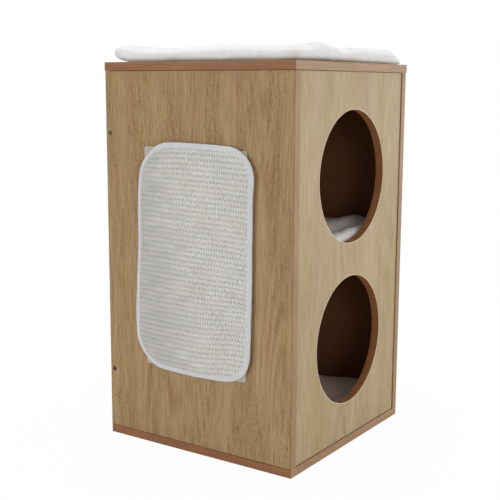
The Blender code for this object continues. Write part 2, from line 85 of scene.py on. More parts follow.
def applyModifiers(piece):
    makeActive(piece)
    for modifier in list(piece.modifiers):
        bpy.ops.object.modifier_apply(modifier=modifier.name)


def moveVerts(piece, rule):
    # rule takes a place in metres and gives the new one
    for vert in piece.data.vertices:
        vert.co = rule(vert.co.copy())
    piece.data.update()


def smooth(low, high, value):
    step = min(1.0, max(0.0, (value - low) / (high - low)))
    return step * step * (3 - 2 * step)


def hill(distance, reach):
    return math.exp(-(distance / reach) ** 2)


def ripple(x, y, z):
    # smooth noise between -1 and 1
    return noise.noise(Vector((x, y, z)))


def dress(piece, finish):
    piece.data.materials.clear()
    piece.data.materials.append(finish)


camera = {
    "place": (-1.52874, -1.01377, 0.65931),
    "heading": 55.9085,   # degrees from +Y towards +X
    "tilt": -9.6633,
    "roll": 0.2693,
    "lens": 69.491,
    "sensor": 36,
    "clip": (0.05, 60),
}


def setCamera():
    yaw, pitch = math.radians(camera["heading"]), math.radians(camera["tilt"])
    forward = Vector((math.sin(yaw) * math.cos(pitch), math.cos(yaw) * math.cos(pitch), math.sin(pitch)))
    side = Vector((math.cos(yaw), -math.sin(yaw), 0))
    above = side.cross(forward)
    roll = math.radians(camera["roll"])
    right = side * math.cos(roll) + above * math.sin(roll)
    top = above * math.cos(roll) - side * math.sin(roll)
    bpy.ops.object.camera_add(location=camera["place"])
    made = bpy.context.object
    made.name = "photoCamera"
    made.rotation_euler = Matrix((right, top, -forward)).transposed().to_euler()
    made.data.lens = camera["lens"]
    made.data.sensor_width = camera["sensor"]
    made.data.clip_start, made.data.clip_end = camera["clip"]
    scene.camera = made


deselectAll()
setCamera()
print("cat house: camera set")


def addNode(tree, kind, **values):
    # an input's value is given by its name, with underscores for spaces
    made = tree.nodes.new(kind)
    row, column = divmod(len(tree.nodes), 8)
    made.location = (220 * column - 2200, -260 * row)
    for name, value in values.items():
        if hasattr(made, name):
            setattr(made, name, value)
        else:
            made.inputs[name.replace("_", " ")].default_value = value
    return made


def feed(tree, sockets, values):
    # each value is a number, a tuple or another node's output
    for socket, value in zip(sockets, values):
        if isinstance(value, bpy.types.NodeSocket):
            tree.links.new(value, socket)
        else:
            socket.default_value = value


def mathNode(tree, operation, *values):
    made = addNode(tree, "ShaderNodeMath", operation=operation)
    feed(tree, made.inputs, values)
    return made.outputs[0]


def vectorNode(tree, operation, *values):
    made = addNode(tree, "ShaderNodeVectorMath", operation=operation)
    feed(tree, made.inputs, values)
    return made.outputs["Value" if operation == "LENGTH" else "Vector"]


def scaled(tree, colour, factor):
    made = addNode(tree, "ShaderNodeVectorMath", operation="SCALE")
    feed(tree, (made.inputs[0], made.inputs["Scale"]), (colour, factor))
    return made.outputs[0]


def mapped(tree, value, **limits):
    made = addNode(tree, "ShaderNodeMapRange", **limits)
    tree.links.new(value, made.inputs["Value"])
    return made.outputs[0]


def splitAxes(tree, vector):
    made = addNode(tree, "ShaderNodeSeparateXYZ")
    tree.links.new(vector, made.inputs[0])
    return made.outputs


def mixShaders(tree, amount, first, second, output):
    mixed = addNode(tree, "ShaderNodeMixShader")
    feed(tree, mixed.inputs, (amount, first.outputs[0], second.outputs[0]))
    tree.links.new(mixed.outputs[0], addNode(tree, output).inputs["Surface"])


studio = {
    "ambient": 0.37,
    "floorSize": 24,
    "floorColour": (0.92, 0.92, 0.92),
    "floorGlow": 0.965,    # share of plain white that the camera sees in the floor
    "fadeFrom": 0.9,       # metres from the house where the floor starts to turn plain white
    "fadeTo": 2.6,
}

lamps = [
    # name, place, aim, size, watts
    ("frontBox", (2.9, -2.9, 0.35), (0.0, 0.0, 0.28), 1.6, 48),
    ("hazeBox", (4.0, -1.0, 0.45), (0.1, -0.2, 0.35), 1.2, 24),
    ("sideFill", (-2.0, -2.9, 0.9), (0.0, 0.0, 0.30), 1.2, 26),
    ("leftBox", (-4.5, 2.2, 0.60), (0.0, 0.0, 0.15), 0.7, 65),
    ("topBox", (-0.1, 0.0, 2.9), (0.0, 0.0, 0.6), 1.6, 39),
    ("rightBox", (2.6, 1.4, 1.3), (0.0, 0.0, 0.35), 1.4, 30),
]


def setLights():
    for name, place, aim, size, watts in lamps:
        bpy.ops.object.light_add(type="AREA", location=place)
        lamp = bpy.context.object
        lamp.name = name
        lamp.data.shape = "DISK"
        lamp.data.size = size
        lamp.data.energy = watts
        lamp.rotation_euler = (Vector(aim) - Vector(place)).to_track_quat("-Z", "Y").to_euler()
    # plain white to the camera and in reflections, and dimmer as light
    world = bpy.data.worlds.new("plainWhite")
    scene.world = world
    world.use_nodes = True
    tree = world.node_tree
    tree.nodes.clear()
    rays = addNode(tree, "ShaderNodeLightPath").outputs
    shown = addNode(tree, "ShaderNodeMath", operation="ADD", use_clamp=True)
    feed(tree, shown.inputs, (rays["Is Camera Ray"],
                              mathNode(tree, "ADD", rays["Is Glossy Ray"], rays["Is Transmission Ray"])))
    ambient = addNode(tree, "ShaderNodeBackground", Color=(1, 1, 1, 1), Strength=studio["ambient"])
    white = addNode(tree, "ShaderNodeBackground", Color=(1, 1, 1, 1), Strength=1.0)
    mixShaders(tree, shown.outputs[0], ambient, white, "ShaderNodeOutputWorld")


def layFloor():
    bpy.ops.mesh.primitive_plane_add(size=studio["floorSize"], location=(0, 0, 0))
    floor = nameNew("floor")
    paint = bpy.data.materials.new("paleFloor")
    paint.use_nodes = True
    tree = paint.node_tree
    tree.nodes.clear()
    reach = vectorNode(tree, "LENGTH", addNode(tree, "ShaderNodeTexCoord").outputs["Object"])
    fade = mapped(tree, reach, interpolation_type="SMOOTHSTEP", From_Min=studio["fadeFrom"],
                  From_Max=studio["fadeTo"], To_Min=studio["floorGlow"], To_Max=1.0)
    rays = addNode(tree, "ShaderNodeLightPath").outputs
    amount = mathNode(tree, "MULTIPLY", fade, rays["Is Camera Ray"])
    matt = addNode(tree, "ShaderNodeBsdfDiffuse", Color=(*studio["floorColour"], 1))
    white = addNode(tree, "ShaderNodeEmission", Color=(1, 1, 1, 1), Strength=1.0)
    mixShaders(tree, amount, matt, white, "ShaderNodeOutputMaterial")
    dress(floor, paint)


setLights()
layFloor()
scene.view_settings.view_transform = "Standard"
print("cat house: lights and floor set")


def startFinish(name, roughness, **sockets):
    finish = bpy.data.materials.new(name)
    finish.use_nodes = True
    tree = finish.node_tree
    shader = tree.nodes["Principled BSDF"]
    shader.inputs["Roughness"].default_value = roughness
    for socket, value in sockets.items():
        shader.inputs[socket.replace("_", " ")].default_value = value
    return finish, tree, shader


def stretched(tree, source, scale, offset=(0, 0, 0)):
    made = addNode(tree, "ShaderNodeMapping", Scale=scale, Location=offset)
    tree.links.new(source, made.inputs["Vector"])
    return made.outputs["Vector"]


def grainNoise(tree, vector, detail, rough=0.55, size=1.0):
    made = addNode(tree, "ShaderNodeTexNoise", Scale=size, Detail=detail, Roughness=rough)
    tree.links.new(vector, made.inputs["Vector"])
    return made.outputs[0]


def ramp(tree, value, stops):
    # stops: (place from 0 to 1, grey or colour)
    made = addNode(tree, "ShaderNodeValToRGB")
    while len(made.color_ramp.elements) < len(stops):
        made.color_ramp.elements.new(0.5)
    for element, (where, colour) in zip(made.color_ramp.elements, stops):
        element.position = where
        element.color = (colour, colour, colour, 1) if isinstance(colour, (int, float)) else (*colour, 1)
    tree.links.new(value, made.inputs[0])
    return made.outputs[0]


def blendColours(tree, amount, first, second, blend="MIX"):
    made = addNode(tree, "ShaderNodeMix", data_type="RGBA", blend_type=blend)
    colours = [(*c, 1) if isinstance(c, tuple) else c for c in (first, second)]
    # sockets 0, 6 and 7 are the factor and the two colours, and output 2 is the colour
    feed(tree, (made.inputs[0], made.inputs[6], made.inputs[7]), (amount, *colours))
    return made.outputs[2]


def addBump(tree, shader, height, distance, strength):
    made = addNode(tree, "ShaderNodeBump", Strength=strength, Distance=distance)
    tree.links.new(height, made.inputs["Height"])
    tree.links.new(made.outputs[0], shader.inputs["Normal"])


def shades(colour, low, high):
    return tuple(c * low for c in colour), tuple(min(1, c * high) for c in colour)


oak = {
    # one foil in two copies: the side boards' darker, warmer tones are painted shade, and the front
    # boards' paler ones are painted light
    "shadedSideTones": ((0.190, 0.101, 0.024), (0.392, 0.271, 0.134)),    # dark and light, golden
    "shadedSidePinks": ((0.196, 0.095, 0.026), (0.380, 0.247, 0.136)),    # dark and light, pinkish
    "litFrontTones": ((0.262, 0.180, 0.062), (0.476, 0.371, 0.210)),
    "litFrontPinks": ((0.280, 0.182, 0.080), (0.486, 0.362, 0.244)),
    "roughness": 0.55,
    "sway": 0.014,                 # metres that the grain wanders sideways
    "swayScale": (6, 6, 2.2),
    # the plain tone, from 0 for dark to 1 for light, and how much each layer moves it
    "tone": 0.72,
    "streakShare": 1.75,
    "slowShare": 0.75,
    "archShare": 0.13,
    "poreShare": 0.46,
    "archCount": 120.0,
    "poreDepth": 0.00012,
    "paintedShadowLine": (0.24, 0.16, 0.09),    # painted shadow: what the dark line along a board's ends, under the overhangs and in the joints, keeps of the colour
    # painted shade: the plainer, darker faces inside the rooms, where little light reaches; each span ends
    # within the thickness of the walls
    "inside": (0.150, 0.060, 0.027),
    "insideShadeDull": (0.62, 0.40, 0.30),
    "insideShadePlain": 0.80,
    "insideShadeSpan": (("X", -0.1885, 0.1885), ("Y", -0.1870, 0.1870), ("Z", 0.0148, 0.6852)),
    # the sawn back edge and its chips
    "sawn": ((0.0, (0.20, 0.125, 0.065)), (0.45, (0.36, 0.25, 0.14)), (1.0, (0.50, 0.38, 0.24))),
    "chips": 520.0,
}

oakLayers = {
    # noises over the grain: scale, offset, detail, roughness
    "hue": ((20, 20, 3.2), (0, 0, 0), 2.0, 0.55),           # pinkish patches in the gold
    "slow": ((26, 26, 3.4), (2.2, 8.1, 5.0), 2.0, 0.55),    # slow darker and lighter patches
    "field": ((8, 8, 1.1), (3.1, 1.7, 0.4), 1.0, 0.55),     # its contour lines make the arches
    "patch": ((9, 9, 3.4), (9, 4, 2), 1.0, 0.55),           # where arches show
    "streaks": ((330, 330, 22), (0, 0, 0), 4.0, 0.7),
    "pores": ((600, 600, 180), (0, 0, 0), 2.0, 0.6),        # dark dashes
    "poreBand": ((26, 26, 5), (1, 2, 7), 3.0, 0.55),        # where they cluster
}


def insideShadeMask(tree, where):
    # 1 on the faces inside the house, which get the painted shade
    axes = splitAxes(tree, where)
    found = 1
    for axis, low, high in oak["insideShadeSpan"]:
        above = mathNode(tree, "GREATER_THAN", axes[axis], low)
        below = mathNode(tree, "LESS_THAN", axes[axis], high)
        found = mathNode(tree, "MULTIPLY", found, mathNode(tree, "MULTIPLY", above, below))
    return found


def shadowLineMask(tree, where, ends):
    # 1 along the outermost millimetre at these ends, where the shadow line is painted: (axis, test, limit)
    axes = splitAxes(tree, where)
    found = 0
    for axis, test, limit in ends:
        found = mathNode(tree, "MAXIMUM", found, mathNode(tree, test, axes[axis], limit))
    return found


def oakFinish(name, tones, pinks, turn=(0, 0, 0), shift=(0, 0, 0), contrast=1.0, rawEdge=False, insideShade=True,
              shadowLineEnds=()):
    # printed oak foil: its grain runs along Z, and turn lays it along another way
    finish, tree, shader = startFinish(name, oak["roughness"], Specular_IOR_Level=0.22)
    link = tree.links.new
    where = addNode(tree, "ShaderNodeTexCoord").outputs
    laid = addNode(tree, "ShaderNodeMapping", Location=shift, Rotation=[math.radians(a) for a in turn])
    link(where["Object"], laid.inputs["Vector"])
    # a slow noise pushes the grain sideways
    wander = addNode(tree, "ShaderNodeTexNoise", Scale=1.0, Detail=3.0)
    link(stretched(tree, laid.outputs[0], oak["swayScale"]), wander.inputs["Vector"])
    centred = vectorNode(tree, "SUBTRACT", wander.outputs["Color"], (0.5, 0.5, 0.5))
    sideways = vectorNode(tree, "MULTIPLY", centred, (oak["sway"], oak["sway"], 0))
    grain = vectorNode(tree, "ADD", laid.outputs[0], sideways)
    layers = {key: grainNoise(tree, stretched(tree, grain, scale, offset), detail, rough)
              for key, (scale, offset, detail, rough) in oakLayers.items()}

    def swing(layer, share):
        # a layer's move to either side of the plain tone
        return mathNode(tree, "MULTIPLY", mathNode(tree, "SUBTRACT", layers[layer], 0.5), share * contrast)

    hue = ramp(tree, layers["hue"], [(0.44, 0.0), (0.66, 1.0)])
    arches = mathNode(tree, "SINE", mathNode(tree, "MULTIPLY", layers["field"], oak["archCount"]))
    figure = mathNode(tree, "MULTIPLY", arches,
                      ramp(tree, layers["patch"], [(0.48, 0.0), (0.64, oak["archShare"] * contrast)]))
    poreMask = mathNode(tree, "MULTIPLY", ramp(tree, layers["pores"], [(0.46, 0.0), (0.68, 1.0)]),
                        ramp(tree, layers["poreBand"], [(0.40, 0.22), (0.62, 1.0)]))
    tone = mathNode(tree, "ADD", swing("streaks", oak["streakShare"]), figure)
    tone = mathNode(tree, "ADD", tone, swing("slow", oak["slowShare"]))
    tone = mathNode(tree, "ADD", tone, oak["tone"])
    poreTone = mathNode(tree, "MULTIPLY", poreMask, oak["poreShare"] * contrast)
    tone = mathNode(tree, "SUBTRACT", tone, poreTone)
    golden, pink = (blendColours(tree, tone, *pair) for pair in (tones, pinks))
    colour = blendColours(tree, hue, golden, pink)
    # painted shadow: a dark line along the board's ends, standing for the shade under the overhangs and in
    # the joints
    if shadowLineEnds:
        shaded = blendColours(tree, 1.0, colour, oak["paintedShadowLine"], "MULTIPLY")
        colour = blendColours(tree, shadowLineMask(tree, where["Object"], shadowLineEnds), colour, shaded)
    # painted shade: the faces inside the rooms are darker and plainer, standing for the little light that
    # reaches them
    if insideShade:
        dull = blendColours(tree, 1.0, colour, oak["insideShadeDull"], "MULTIPLY")
        plain = blendColours(tree, oak["insideShadePlain"], dull, oak["inside"])
        colour = blendColours(tree, insideShadeMask(tree, where["Object"]), colour, plain)
    if rawEdge:
        chips = addNode(tree, "ShaderNodeTexVoronoi", Scale=oak["chips"])
        link(where["Object"], chips.inputs["Vector"])
        facingBack = mathNode(tree, "GREATER_THAN", splitAxes(tree, where["Normal"])["Y"], 0.7)
        colour = blendColours(tree, facingBack, colour, ramp(tree, chips.outputs["Color"], oak["sawn"]))
    link(colour, shader.inputs["Base Color"])
    link(mapped(tree, layers["streaks"], To_Min=oak["roughness"] - 0.06, To_Max=oak["roughness"] + 0.12),
         shader.inputs["Roughness"])
    addBump(tree, shader, mathNode(tree, "SUBTRACT", 1.0, poreMask), oak["poreDepth"], 0.5)
    return finish


bandLook = {
    # painted shade: the left band is a darker, redder copy of the front band
    "left": (0.265, 0.117, 0.050),
    "front": (0.366, 0.225, 0.129),
    "upright": (0.343, 0.209, 0.109),
    # painted shade: the doorway's band is a darker copy of the edge band, as its lining lies in shade
    "doorway": (0.290, 0.118, 0.040),
    "lip": (0.86, 0.71, 0.52),
    "upperEdge": (0.255, 0.160, 0.082),
    "upperFrom": 0.6962,     # the height where the top band's upper edge begins to turn to that colour
    "upperTo": 0.6978,
    "upperShare": 0.75,
    "roughness": 0.55,
    "lines": 420.0,          # how fine the lines are across the strip and along it
    "linesAlong": 9.0,
    "slowScale": (13, 13, 13),
}


def bandFinish(name, colour, along, lip=False, upper=False):
    # a plastic strip with fine lines along it; lip pales the cut edge that faces forward, and upper
    # gives the top band's upper edge its own colour
    finish, tree, shader = startFinish(name, bandLook["roughness"], Specular_IOR_Level=0.2)
    where = addNode(tree, "ShaderNodeTexCoord").outputs
    scale = [bandLook["lines"]] * 3
    scale["XYZ".index(along)] = bandLook["linesAlong"]
    lines = grainNoise(tree, stretched(tree, where["Object"], scale), 3.0, 0.6)
    slow = grainNoise(tree, stretched(tree, where["Object"], bandLook["slowScale"]), 2.0)
    dark, pale = shades(colour, 0.80, 1.16)
    tones = ramp(tree, lines, [(0.30, dark), (0.52, colour), (0.74, pale)])
    colour = scaled(tree, tones, mapped(tree, slow, From_Min=0.3, From_Max=0.7, To_Min=0.93, To_Max=1.06))
    if upper:
        edge = mapped(tree, splitAxes(tree, where["Object"])["Z"], From_Min=bandLook["upperFrom"],
                      From_Max=bandLook["upperTo"], To_Max=bandLook["upperShare"])
        colour = blendColours(tree, edge, colour, bandLook["upperEdge"])
    if lip:
        forward = mathNode(tree, "LESS_THAN", splitAxes(tree, where["Normal"])["Y"], -0.6)
        colour = blendColours(tree, forward, colour, bandLook["lip"])
    tree.links.new(colour, shader.inputs["Base Color"])
    addBump(tree, shader, lines, 0.00008, 0.4)
    return finish


plush = {
    "colour": (0.80, 0.795, 0.795),
    "shade": (0.765, 0.76, 0.76),
    # painted light and shade: what multiplies the colour of a room's cushion in front of the doorway's
    # edge, brightening it as if lit, and behind it, darkening and warming it as if in shade with light
    # bounced off the wood
    "frontPaintedLight": (1.18, 1.16, 1.13),
    "upperShadeAndBounce": (0.95, 0.85, 0.78),
    "lowerShadeAndBounce": (1.04, 0.81, 0.64),
    "paintedShadeFrom": -0.165,
    "paintedShadeTo": -0.120,
    "roughness": 1.0,
    "sheen": 0.12,
    "pile": 0.0006,
    "patches": 22.0,
    "clumps": 95.0,
    "fibres": 620.0,
}


def plushFinish(name, roomShadeAndBounce=None):
    # short brushed pile: soft clumps, and fine fibre ends over them
    finish, tree, shader = startFinish(name, plush["roughness"], Sheen_Weight=plush["sheen"],
                                       Sheen_Roughness=0.6, Specular_IOR_Level=0.0)
    where = addNode(tree, "ShaderNodeTexCoord").outputs["Object"]
    clumps = grainNoise(tree, where, 3.0, 0.6, plush["clumps"])
    fibres = grainNoise(tree, where, 4.0, 0.7, plush["fibres"])
    patches = grainNoise(tree, where, 2.0, 0.5, plush["patches"])
    pale = shades(plush["colour"], 1, 1.03)[1]
    tones = ramp(tree, clumps, [(0.30, plush["shade"]), (0.48, plush["colour"]), (0.75, pale)])
    factors = [ramp(tree, patches, [(0.35, 0.965), (0.65, 1.0)]),
               ramp(tree, fibres, [(0.32, 0.95), (0.60, 1.0)])]
    # painted light and shade: brighter in front of the doorway's edge, darker and warmer behind it
    if roomShadeAndBounce:
        depth = mapped(tree, splitAxes(tree, where)["Y"], From_Min=plush["paintedShadeFrom"],
                       From_Max=plush["paintedShadeTo"])
        factors.insert(0, ramp(tree, depth, [(0.0, plush["frontPaintedLight"]), (1.0, roomShadeAndBounce)]))
    for factor in factors:
        tones = blendColours(tree, 1.0, tones, factor, "MULTIPLY")
    tree.links.new(tones, shader.inputs["Base Color"])
    addBump(tree, shader, mathNode(tree, "MULTIPLY_ADD", fibres, 0.45, clumps), plush["pile"], 0.55)
    return finish


sisal = {
    # painted light and shade by cord height: crest stands for lit tops, hollow for shade between cords;
    # body is the fibre's own colour
    "crest": (0.755, 0.745, 0.71),
    "body": (0.575, 0.565, 0.535),
    "hollow": (0.25, 0.24, 0.22),
    "straw": (0.63, 0.60, 0.53),
    "roughness": 0.85,
    "hairScale": (900, 320, 1500),
    "patchScale": (30, 24, 70),
}


def sisalFinish(name):
    # twisted fibre: lighter on the crests and darker in the hollows, as painted light and shade, with
    # hairs along the rows
    finish, tree, shader = startFinish(name, sisal["roughness"], Specular_IOR_Level=0.2)
    where = addNode(tree, "ShaderNodeTexCoord").outputs["Object"]
    depth = addNode(tree, "ShaderNodeAttribute", attribute_name="cordHeight").outputs["Fac"]
    hairs = grainNoise(tree, stretched(tree, where, sisal["hairScale"]), 3.0, 0.65)
    patches = grainNoise(tree, stretched(tree, where, sisal["patchScale"]), 2.0)
    body = ramp(tree, depth, [(0.0, sisal["hollow"]), (0.55, sisal["body"]), (1.0, sisal["crest"])])
    toned = scaled(tree, body, mapped(tree, hairs, From_Min=0.25, From_Max=0.75, To_Min=0.84, To_Max=1.10))
    colour = blendColours(tree, ramp(tree, patches, [(0.45, 0.0), (0.75, 0.30)]), toned, sisal["straw"])
    tree.links.new(colour, shader.inputs["Base Color"])
    addBump(tree, shader, hairs, 0.0005, 0.5)
    return finish


def clothFinish(name, colour, thread, depth, roughness=0.8, sheen=0.1):
    # a plain woven or felted cloth with threads this fine, in metres
    finish, tree, shader = startFinish(name, roughness, Sheen_Weight=sheen, Specular_IOR_Level=0.25)
    where = addNode(tree, "ShaderNodeTexCoord").outputs["Object"]
    threads = []
    for direction in "ZY":
        waves = addNode(tree, "ShaderNodeTexWave", wave_type="BANDS", bands_direction=direction,
                        Scale=2 * math.pi / thread / 20, Distortion=0.6, Detail=1.0)
        tree.links.new(where, waves.inputs["Vector"])
        threads.append(waves.outputs["Fac"])
    fuzz = grainNoise(tree, where, 3.0, 0.6, 300.0)
    total = mathNode(tree, "ADD", mathNode(tree, "MULTIPLY", *threads), fuzz)
    dark, pale = shades(colour, 0.86, 1.05)
    tones = ramp(tree, total, [(0.25, dark), (0.8, colour), (1.0, pale)])
    tree.links.new(tones, shader.inputs["Base Color"])
    addBump(tree, shader, total, depth, 0.5)
    return finish


def metalFinish(name, colour, worn, roughness):
    # plated or cast metal, with a lighter tone where it is rubbed
    finish, tree, shader = startFinish(name, roughness, Metallic=1.0)
    spots = grainNoise(tree, addNode(tree, "ShaderNodeTexCoord").outputs["Object"], 4.0, 0.65, 900.0)
    tree.links.new(ramp(tree, spots, [(0.35, colour), (0.70, worn)]), shader.inputs["Base Color"])
    tree.links.new(mapped(tree, spots, To_Min=roughness - 0.1, To_Max=roughness + 0.2),
                   shader.inputs["Roughness"])
    addBump(tree, shader, spots, 0.00006, 0.4)
    return finish


shadedSideTones = (oak["shadedSideTones"], oak["shadedSidePinks"])
litFrontTones = (oak["litFrontTones"], oak["litFrontPinks"])
flatTurn = (0, 90, 0)
boardShadowEnds = (("Z", "GREATER_THAN", 0.6839), ("Z", "LESS_THAN", 0.0161))
frontShadowEnds = boardShadowEnds + (("X", "GREATER_THAN", 0.1861), ("X", "LESS_THAN", -0.1861))
boards = {
    "left_side_panel": oakFinish("oakLeftSide", *shadedSideTones, shift=(0.3, 0.12, 0.0), contrast=1.15,
                                 rawEdge=True, shadowLineEnds=boardShadowEnds),
    "right_side_panel": oakFinish("oakRightSide", *shadedSideTones, shift=(2.3, 1.7, 0.6), rawEdge=True,
                                  shadowLineEnds=boardShadowEnds),
    "front_panel": oakFinish("oakFront", *litFrontTones, shift=(4.1, 0.9, 1.1), contrast=0.90,
                             shadowLineEnds=frontShadowEnds),
    "back_panel": oakFinish("oakBack", *shadedSideTones, shift=(6.4, 2.2, 0.3), shadowLineEnds=frontShadowEnds),
    "top_panel": oakFinish("oakTop", *litFrontTones, turn=flatTurn, shift=(1.1, 5.2, 0.7), contrast=0.8),
    "base_panel": oakFinish("oakBase", *shadedSideTones, turn=flatTurn, shift=(3.7, 6.1, 0.2)),
    "middle_shelf": oakFinish("oakShelf", *litFrontTones, turn=flatTurn, shift=(5.3, 7.7, 0.9), contrast=0.8),
}
bandLeftYShaded = bandFinish("bandAlongY", bandLook["left"], "Y", upper=True)
bandFrontX = bandFinish("bandAlongX", bandLook["front"], "X")
bandUpright = bandFinish("bandUpright", bandLook["upright"], "Z")
bandDoorway = bandFinish("bandDoorway", bandLook["doorway"], "Y", lip=True)
whitePlush = plushFinish("whitePlush")
roomPlush = {"upper_cushion": plushFinish("upperPlush", plush["upperShadeAndBounce"]),
             "lower_cushion": plushFinish("lowerPlush", plush["lowerShadeAndBounce"])}
wovenSisal = sisalFinish("wovenSisal")
bindingTape = clothFinish("bindingTape", (0.600, 0.605, 0.620), 0.0011, 0.00018, 0.7, 0.15)
stitchThread = clothFinish("stitchThread", (0.69, 0.69, 0.69), 0.0005, 0.0001, 0.6)
backingFelt = clothFinish("backingFelt", (0.62, 0.61, 0.58), 0.0016, 0.0003, 0.95)
hookTape = clothFinish("hookTape", (0.45, 0.40, 0.35), 0.0016, 0.0006, 0.5)
loopTape = clothFinish("loopTape", (0.50, 0.445, 0.385), 0.0012, 0.0005, 0.9, 0.4)
bronzedSteel = metalFinish("bronzedSteel", (0.095, 0.058, 0.032), (0.19, 0.12, 0.07), 0.42)
zincSteel = metalFinish("zincSteel", (0.52, 0.52, 0.51), (0.70, 0.70, 0.68), 0.36)
zincCasting = metalFinish("zincCasting", (0.40, 0.40, 0.40), (0.58, 0.58, 0.58), 0.5)
beech = oakFinish("beechDowel", ((0.40, 0.26, 0.15), (0.56, 0.40, 0.25)),
                  ((0.38, 0.23, 0.13), (0.54, 0.37, 0.23)), turn=flatTurn, contrast=0.5, insideShade=False)


def finishFor(name):
    if name in boards:
        return boards[name]
    if "doorway" in name:
        return bandDoorway
    if "edge_band" in name:
        if name.endswith(("_left", "_right")) and name.startswith(("top", "base")):
            return bandLeftYShaded
        return bandFrontX if name.startswith(("top", "base")) else bandUpright
    for word, finish in (("cushion", whitePlush), ("screw", bronzedSteel), ("bolt", zincSteel),
                         ("cam_lock", zincCasting), ("dowel", beech), ("hook_tab", hookTape),
                         ("loop_tab", loopTape), ("backing", backingFelt), ("binding", bindingTape)):
        if word in name:
            return finish
    return wovenSisal


for name, node in nodes.items():
    dress(node, finishFor(name))
print("cat house: finishes made")


stuffing = {
    # what all three cushions share
    "cornerSteps": 8,
    "edgeSteps": 5,
    "voxel": 0.005,
    "frames": 20,
    "quality": 6,
    "stretch": 12,           # how stiff the cloth is against stretching and squeezing
    "bending": 0.4,
    "uneven": 0.0009,        # how far its top rises and falls on its own
    "seatGap": 0.00005,      # the least that it stands off the board it lies on
    "waveSpan": (0.25, 0.9),    # shares of the thickness where the waves begin and where they are full
}

topCushion = {
    "node": "top_cushion",
    "name": "topCushion",
    "shrink": 0.0020,        # how far inside the solid its sides start
    "startLift": 0.002,
    "startHeight": 0.0225,
    "corner": 0.028,
    "edge": 0.0100,
    "pressure": 3.0,
    "cap": 0.0030,           # the furthest that the pressure may move any point
    "pile": 0.0002,
    # rises and dips of its top: x, y, reach x, reach y, metres
    "waves": [(-0.175, 0.170, 0.06, 0.028, 0.0032), (-0.180, 0.065, 0.07, 0.070, -0.0050),
              (-0.175, -0.165, 0.045, 0.060, -0.0046), (-0.090, -0.18, 0.036, 0.04, 0.0044),
              (-0.024, -0.18, 0.030, 0.05, -0.0042), (0.120, -0.18, 0.06, 0.05, 0.0004),
              (0.03, 0.02, 0.10, 0.09, -0.0024)],
    # the back left corner curls up off the board, and the front right one slumps onto it
    "outward": (-0.560, 0.828),    # the level way to the back left, at right angles to the photo's view
    "cornerOut": 0.2636,           # how far out both corners reach that way
    "curlReach": 0.036,
    "curlHeight": 0.0060,
    "slumpReach": 0.036,
    "slumpDrop": 0.95,
    "slumpOut": 0.0037,            # how far that corner moves out, and its foot beyond it
    "footOut": 0.0115,
    # small folds low on its front side: x, y, z, length, height
    "folds": [(0.150, -0.198, 0.7050, 0.014, 0.0018), (0.178, -0.190, 0.7075, 0.010, -0.0016),
              (0.120, -0.198, 0.7045, 0.012, -0.0012), (-0.198, 0.06, 0.7050, 0.016, 0.0012),
              (-0.198, -0.05, 0.7045, 0.014, -0.0010), (-0.198, -0.13, 0.7055, 0.012, 0.0010)],
    "foldWide": 0.0030,
    "frontSide": -0.198,
    "frontGap": 0.0016,      # how far the front side's lower edge stands off the board
}


def softBlank(look, low, high):
    # a block with round corners and edges, the form that the stuffing swells
    deselectAll()
    size = high - low
    bpy.ops.mesh.primitive_cube_add(size=1, location=(low + high) / 2, scale=size)
    piece = nameNew(look["node"] + "_blank")
    enterMode("EDIT")
    # its upright edges, and then the sharp ones above and below
    pick(piece, "edges", lambda e: abs(e.verts[0].co.z - e.verts[1].co.z) > size.z / 2)
    bpy.ops.mesh.bevel(offset=look["corner"], segments=stuffing["cornerSteps"], affect="EDGES")
    pick(piece, "edges", lambda e: abs(e.verts[0].co.z - e.verts[1].co.z) < 1e-5
         and len(e.link_faces) == 2 and e.calc_face_angle() > 1.0)
    bpy.ops.mesh.bevel(offset=look["edge"], segments=stuffing["edgeSteps"], affect="EDGES")
    enterMode("OBJECT")
    piece.data.remesh_voxel_size = stuffing["voxel"]
    bpy.ops.object.voxel_remesh()
    return piece


def stuff(blank, look):
    # copied into a new object, swollen as cloth under pressure, and held to its cap
    piece = bpy.data.objects.new(look["name"], blank.data.copy())
    piece.data.name = look["name"]
    scene.collection.objects.link(piece)
    bpy.data.objects.remove(blank)
    before = [v.co.copy() for v in piece.data.vertices]
    makeActive(piece)
    cloth = piece.modifiers.new("stuffing", "CLOTH")
    cloth.settings.use_pressure = True
    cloth.settings.uniform_pressure_force = look["pressure"]
    cloth.settings.effector_weights.gravity = 0
    cloth.settings.quality = stuffing["quality"]
    cloth.settings.tension_stiffness = stuffing["stretch"]
    cloth.settings.compression_stiffness = stuffing["stretch"]
    cloth.settings.bending_stiffness = stuffing["bending"]
    cloth.point_cache.frame_start = 1
    cloth.point_cache.frame_end = stuffing["frames"]
    for step in range(1, stuffing["frames"] + 1):
        scene.frame_set(step)
    bpy.ops.object.modifier_apply(modifier=cloth.name)
    scene.frame_set(1)
    for vert, start in zip(piece.data.vertices, before):
        move = vert.co - start
        if move.length > look["cap"]:
            vert.co = start + move * (look["cap"] / move.length)
    finer = piece.modifiers.new("finer", "SUBSURF")
    finer.levels = finer.render_levels = 1
    applyModifiers(piece)
    return piece


def fitSides(piece, low, high):
    # stretched level until its sides stand where the solid's do
    spots = [v.co for v in piece.data.vertices]
    for axis in (0, 1):
        least, most = min(c[axis] for c in spots), max(c[axis] for c in spots)
        for spot in spots:
            spot[axis] = low[axis] + (spot[axis] - least) * (high[axis] - low[axis]) / (most - least)
    piece.data.update()


